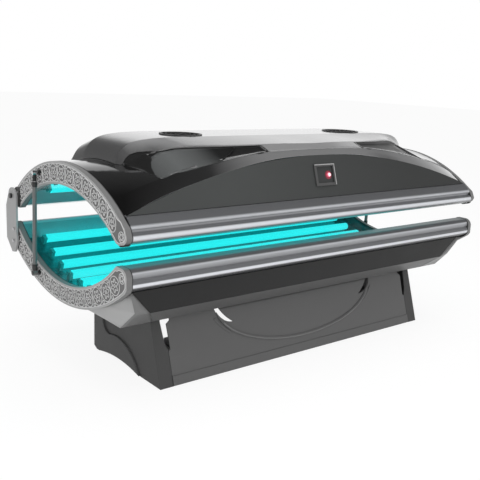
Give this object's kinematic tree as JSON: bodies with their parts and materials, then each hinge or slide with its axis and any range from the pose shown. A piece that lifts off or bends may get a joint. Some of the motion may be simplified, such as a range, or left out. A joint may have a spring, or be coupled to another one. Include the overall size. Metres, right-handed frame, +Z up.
{
  "type": "tanning bed",
  "caption": "Lie-down clamshell tanning bed: curved lamp bench on a pedestal, hinged lamp canopy on gas springs, vented hood and a start button.",
  "frame": {"origin": "on the floor, under the middle of the bed's overall width and depth", "axes": "+X along the bed, towards the right for someone facing its open front; -Y is the open front; +Z is up"},
  "size_m": [2.071, 1.0462, 0.953],
  "materials": {
    "end_panel": "satin",
    "barrel_black": "gloss",
    "fascia_grey": "gloss",
    "hood_silver": "gloss",
    "rail": "satin",
    "panel_dark": "satin",
    "base_grey": "satin",
    "fairing_grey": "satin",
    "acrylic": "clear",
    "reflector": "polished",
    "lamp_glass": "gloss",
    "holder_white": "matte",
    "frame_metal": "painted",
    "steel_black": "satin",
    "steel_light": "satin",
    "fastener": "bright",
    "rod_chrome": "polished",
    "choke_steel": "matte",
    "black_plastic": "matte",
    "bezel_grey": "satin",
    "button_lit": "gloss",
    "foot_rubber": "matte"
  },
  "bodies": {
    "bed_base": {"bench_end_left": "end_panel", "bench_end_right": "end_panel", "bench_front_rail": "rail", "bench_rear_rail": "rail", "bench_front_panel": "panel_dark", "bench_rear_panel": "panel_dark", "bench_belly": "panel_dark", "bench_fairing_left": "fairing_grey", "bench_fairing_right": "fairing_grey", "bench_acrylic": "acrylic", "bench_reflector": "reflector", "bench_lamps": "lamp_glass", "bench_lampholders": "holder_white", "hinge_plate_left": "steel_light", "hinge_plate_right": "steel_light", "hinge_spacers": "fastener", "hinge_pins": "steel_black", "bench_end_screws": "fastener", "lower_strut_studs": "steel_black", "base_leg_cover_left": "base_grey", "base_leg_cover_right": "base_grey", "base_front_panel": "base_grey", "leg_frame_left": "frame_metal", "leg_frame_right": "frame_metal", "levelling_feet": "foot_rubber", "base_beams": "frame_metal", "ballast_tray": "steel_light", "ballasts": "choke_steel", "control_box": "black_plastic", "power_inlet": "black_plastic"},
    "canopy": {"canopy_end_left": "end_panel", "canopy_end_right": "end_panel", "canopy_front_rail": "rail", "canopy_rear_rail": "rail", "canopy_shell": "barrel_black", "canopy_fascia": "fascia_grey", "canopy_hood": "hood_silver", "canopy_acrylic": "acrylic", "canopy_reflector": "reflector", "canopy_lamps": "lamp_glass", "canopy_lampholders": "holder_white", "canopy_ballasts": "choke_steel", "hinge_arm_left": "steel_black", "hinge_arm_right": "steel_black", "hinge_bushes": "fastener", "canopy_end_screws": "fastener", "upper_strut_studs": "steel_black", "fan_housing_left": "black_plastic", "fan_housing_right": "black_plastic", "fan_guards": "steel_black", "control_bezel": "bezel_grey", "control_panel": "black_plastic"},
    "start_button": {"start_button": "button_lit"},
    "strut_tube_left": {"strut_tube_left": "steel_black"},
    "strut_tube_right": {"strut_tube_right": "steel_black"},
    "strut_rod_left": {"strut_rod_left": "rod_chrome"},
    "strut_rod_right": {"strut_rod_right": "rod_chrome"},
    "fan_impeller_left": {"fan_impeller_left": "black_plastic"},
    "fan_impeller_right": {"fan_impeller_right": "black_plastic"}
  },
  "joints": [
    {"name": "canopy_hinge", "type": "hinge", "parent": "bed_base", "child": "canopy", "pos_m": [0, 0.458, 0.645], "axis": [-1, 0, 0], "range_deg": [0, 40]},
    {"name": "strut_swing_left", "type": "hinge", "parent": "bed_base", "child": "strut_tube_left", "pos_m": [-1.023, 0.199, 0.359], "axis": [-1, 0, 0], "range_deg": [0, 15.9]},
    {"name": "strut_stroke_left", "type": "slide", "parent": "strut_tube_left", "child": "strut_rod_left", "axis": [0, -0.0402, 0.9992], "range_m": [0, 0.163]},
    {"name": "fan_spin_left", "type": "hinge", "parent": "canopy", "child": "fan_impeller_left", "pos_m": [-0.48, -0.056, 0.93], "axis": [0, 0, 1], "continuous": true},
    {"name": "strut_swing_right", "type": "hinge", "parent": "bed_base", "child": "strut_tube_right", "pos_m": [1.023, 0.199, 0.359], "axis": [-1, 0, 0], "range_deg": [0, 15.9]},
    {"name": "strut_stroke_right", "type": "slide", "parent": "strut_tube_right", "child": "strut_rod_right", "axis": [0, -0.0402, 0.9992], "range_m": [0, 0.163]},
    {"name": "fan_spin_right", "type": "hinge", "parent": "canopy", "child": "fan_impeller_right", "pos_m": [0.48, -0.056, 0.93], "axis": [0, 0, 1], "continuous": true},
    {"name": "button_press", "type": "slide", "parent": "canopy", "child": "start_button", "axis": [0, 0.9524, -0.3048], "range_m": [0, 0.002], "stiffness_N_per_m": 400}
  ],
  "couplings": [
    {"joint": "strut_swing_left", "follows": "canopy_hinge", "ratio": 0.39309},
    {"joint": "strut_stroke_left", "follows": "canopy_hinge", "m_per_rad": 0.23058},
    {"joint": "strut_swing_right", "follows": "canopy_hinge", "ratio": 0.39309},
    {"joint": "strut_stroke_right", "follows": "canopy_hinge", "m_per_rad": 0.23058}
  ]
}
